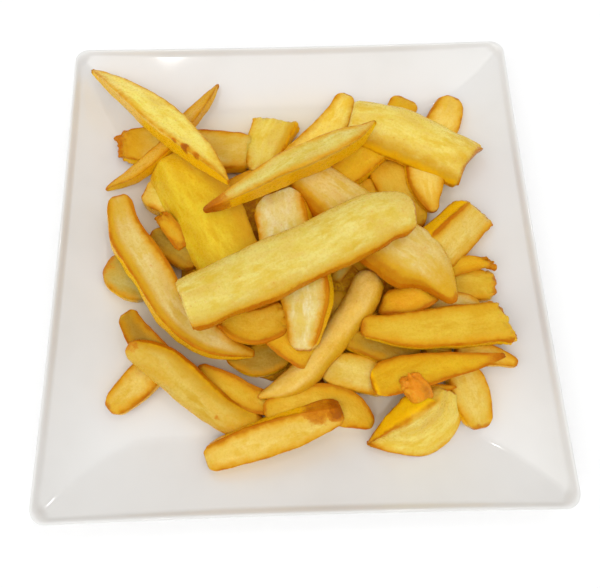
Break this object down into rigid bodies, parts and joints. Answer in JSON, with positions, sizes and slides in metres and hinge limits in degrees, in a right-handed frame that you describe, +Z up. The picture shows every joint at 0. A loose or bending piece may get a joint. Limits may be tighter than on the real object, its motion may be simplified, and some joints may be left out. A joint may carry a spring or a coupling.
{
  "type": "french fries portion",
  "caption": "Portion of thick-cut golden french fries heaped on a shallow white square plate.",
  "frame": {"origin": "middle of the plate's foot, on the table", "axes": "+Z up, +X to the right and +Y to the back, along the plate's sides"},
  "size_m": [0.22, 0.22, 0.0484],
  "materials": {
    "glazed_porcelain": "gloss",
    "fried_potato": "satin"
  },
  "bodies": {
    "root": {"plate": "glazed_porcelain", "fries_heap": "fried_potato"}
  },
  "joints": []
}
